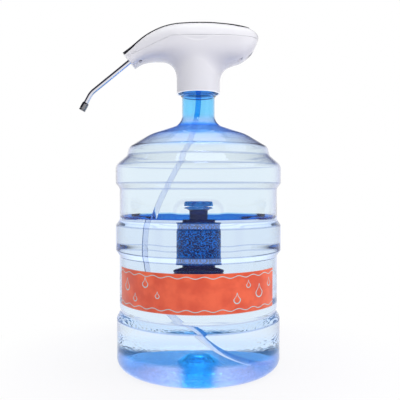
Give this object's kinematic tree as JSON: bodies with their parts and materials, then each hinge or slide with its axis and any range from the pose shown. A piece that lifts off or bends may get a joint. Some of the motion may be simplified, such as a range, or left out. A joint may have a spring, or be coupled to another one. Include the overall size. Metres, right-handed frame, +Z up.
{
  "type": "bottled water pump",
  "caption": "Battery water pump on the neck of a clear ribbed water bottle with a moulded rear grip; bent bright spout, button on top, charging flap behind and a hose down to the water.",
  "frame": {"origin": "on the table, at the middle of the whole object's box seen from above", "axes": "+Z up, the spout points to -X, the camera's side and the label are -Y, the moulded grip is at +Y"},
  "size_m": [0.3314, 0.27, 0.5612],
  "materials": {
    "clear_bottle": "clear blue, smooth",
    "label_film": null,
    "silicone": "milky, translucent",
    "white_shell": "gloss",
    "black_panel": "high gloss",
    "silver_plastic": "satin silver",
    "lens": "clear",
    "steel": "drawn and plated",
    "grey_rubber": "matt",
    "cell_wrap": "shrink film",
    "board": "solder mask",
    "black_plastic": "matt",
    "nylon": "natural, moulded",
    "brass": "turned",
    "chrome": "polished"
  },
  "bodies": {
    "bottle": {"bottle": "clear_bottle", "label": "label_film"},
    "pump_head": {"lower_housing": "white_shell", "upper_cover": "white_shell", "top_panel": "black_panel", "indicator_lens": "lens", "neck_sleeve": "silicone", "suction_hose": "silicone", "cover_screw_front_left": "steel", "cover_screw_front_right": "steel", "cover_screw_rear_left": "steel", "cover_screw_rear_right": "steel", "screw_plug_left": "grey_rubber", "screw_plug_right": "grey_rubber", "charging_socket": "steel", "battery_cell": "cell_wrap", "control_board": "board", "button_switch": "black_plastic", "motor_can": "steel", "motor_end_cap": "nylon", "pump_case": "nylon", "swash_plate": "nylon", "diaphragm": "grey_rubber", "valve_head": "nylon", "inlet_connector": "nylon", "inlet_hose": "silicone", "outlet_hose": "silicone", "outlet_connector": "nylon", "spout_seal": "grey_rubber"},
    "button": {"power_button": "silver_plastic"},
    "spout": {"spout_tube": "chrome", "spout_tip": "silver_plastic"},
    "flap": {"port_cover": "grey_rubber"},
    "rotor": {"motor_shaft": "steel", "eccentric": "brass"}
  },
  "joints": [
    {"name": "head_lift", "type": "slide", "parent": "bottle", "child": "pump_head", "axis": [0, 0, 1], "range_m": [0, 0.046]},
    {"name": "button_press", "type": "slide", "parent": "pump_head", "child": "button", "axis": [0, 0, -1], "range_m": [0, 0.0012], "stiffness_N_per_m": 400},
    {"name": "spout_swivel", "type": "hinge", "parent": "pump_head", "child": "spout", "pos_m": [-0.08218, 0, 0.498], "axis": [-0.7771, 0, -0.6293], "range_deg": [-90, 90]},
    {"name": "port_flap", "type": "hinge", "parent": "pump_head", "child": "flap", "pos_m": [0.11907, 0, 0.51312], "axis": [0, -1, 0], "range_deg": [0, 100]},
    {"name": "motor_spin", "type": "hinge", "parent": "pump_head", "child": "rotor", "pos_m": [0.03082, -0.0175, 0.514], "axis": [1, 0, 0], "continuous": true}
  ]
}
